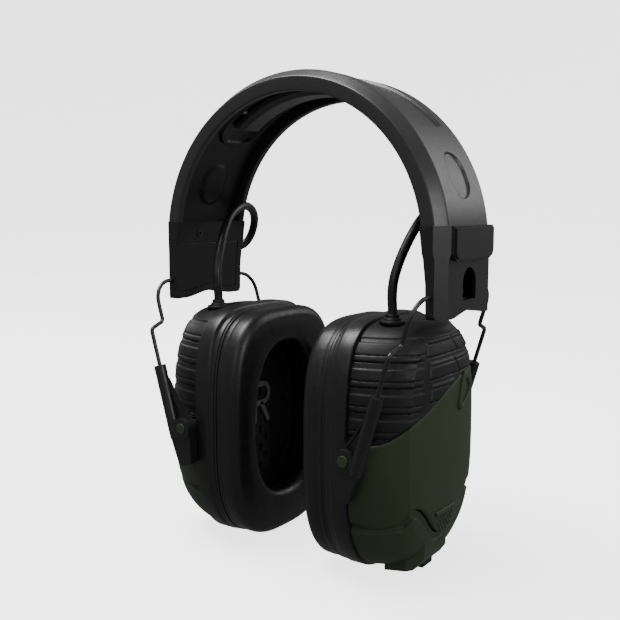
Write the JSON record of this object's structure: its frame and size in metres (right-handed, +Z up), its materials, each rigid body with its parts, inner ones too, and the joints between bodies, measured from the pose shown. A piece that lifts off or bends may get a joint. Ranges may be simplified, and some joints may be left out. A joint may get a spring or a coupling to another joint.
{
  "type": "earmuff hearing protector",
  "caption": "Electronic over-ear hearing protector with a channel headband, wire yokes in sleeve arms, oval cups with rubber tops, cushions, leads and a control pod.",
  "frame": {"origin": "midway between the ears, on the axes of the cup pivot pins", "axes": "+X the wearer's left, -Y the wearer's front, +Z up along the head"},
  "size_m": [0.146, 0.091, 0.2028],
  "materials": {
    "black_plastic": "fine matte texture",
    "black_rubber": "matte",
    "cushion_skin": "soft synthetic leather over foam",
    "green_plastic": "satin",
    "wire_steel": "dark satin",
    "bright_steel": "satin",
    "foam": "perforated foam",
    "cable_jacket": "satin",
    "board": "solder mask",
    "speaker_body": "moulded",
    "cell_can": "satin"
  },
  "bodies": {
    "headband": {"headband_shell": "black_plastic", "headband_liner": "black_plastic", "crown_pad": "black_rubber", "liner_pins": "bright_steel", "link_cable": "cable_jacket", "block_screws": "bright_steel", "end_block_l": "black_plastic", "block_plate_l": "black_plastic", "lead_l": "cable_jacket", "end_block_r": "black_plastic", "block_plate_r": "black_plastic", "lead_r": "cable_jacket"},
    "yoke_l": {"wire_yoke_l": "wire_steel"},
    "arms_l": {"arm_front_l": "black_plastic", "arm_rear_l": "black_plastic"},
    "cup_l": {"base_ring_l": "black_plastic", "cushion_plate_l": "black_plastic", "cushion_l": "cushion_skin", "foam_disc_l": "foam", "ring_screws_l": "bright_steel", "cup_shell_l": "black_plastic", "rubber_top_l": "black_rubber", "lower_shell_l": "green_plastic", "pivot_pins_l": "green_plastic", "lead_gland_l": "black_rubber", "baffle_l": "black_plastic", "speaker_l": "speaker_body", "circuit_board_l": "board", "control_pod": "green_plastic", "button_switch": "black_plastic", "batteries": "cell_can"},
    "yoke_r": {"wire_yoke_r": "wire_steel"},
    "arms_r": {"arm_front_r": "black_plastic", "arm_rear_r": "black_plastic"},
    "cup_r": {"base_ring_r": "black_plastic", "cushion_plate_r": "black_plastic", "cushion_r": "cushion_skin", "foam_disc_r": "foam", "ring_screws_r": "bright_steel", "cup_shell_r": "black_plastic", "rubber_top_r": "black_rubber", "lower_shell_r": "green_plastic", "pivot_pins_r": "green_plastic", "lead_gland_r": "black_rubber", "baffle_r": "black_plastic", "speaker_r": "speaker_body", "circuit_board_r": "board", "outer_cover_r": "green_plastic", "mic_port_r": "black_plastic"},
    "battery_cover": {"outer_cover_l": "green_plastic", "mic_port_l": "black_plastic"},
    "button": {"function_button": "black_rubber"}
  },
  "joints": [
    {"name": "swing_left", "type": "hinge", "parent": "headband", "child": "yoke_l", "pos_m": [0.0651, 0, 0.0613], "axis": [0, -1, 0], "range_deg": [0, 30], "deforming": ["lead_l"]},
    {"name": "slide_left", "type": "slide", "parent": "yoke_l", "child": "arms_l", "axis": [-0.284, 0, -0.9588], "range_m": [-0.006, 0.018], "deforming": ["lead_l"]},
    {"name": "tilt_left", "type": "hinge", "parent": "arms_l", "child": "cup_l", "pos_m": [0.0411, 0, 0], "axis": [0, -1, 0], "range_deg": [-12, 12], "deforming": ["lead_l"]},
    {"name": "swing_right", "type": "hinge", "parent": "headband", "child": "yoke_r", "pos_m": [-0.0651, 0, 0.0613], "axis": [0, 1, 0], "range_deg": [0, 30], "deforming": ["lead_r"]},
    {"name": "slide_right", "type": "slide", "parent": "yoke_r", "child": "arms_r", "axis": [0.284, 0, -0.9588], "range_m": [-0.006, 0.018], "deforming": ["lead_r"]},
    {"name": "tilt_right", "type": "hinge", "parent": "arms_r", "child": "cup_r", "pos_m": [-0.0411, 0, 0], "axis": [0, 1, 0], "range_deg": [-12, 12], "deforming": ["lead_r"]},
    {"name": "battery_cover_pull", "type": "slide", "parent": "cup_l", "child": "battery_cover", "axis": [1, 0, 0], "range_m": [0, 0.014]},
    {"name": "function_press", "type": "slide", "parent": "cup_l", "child": "button", "axis": [0, 0, 1], "range_m": [0, 0.001], "stiffness_N_per_m": 900, "springref_m": -0.001}
  ]
}
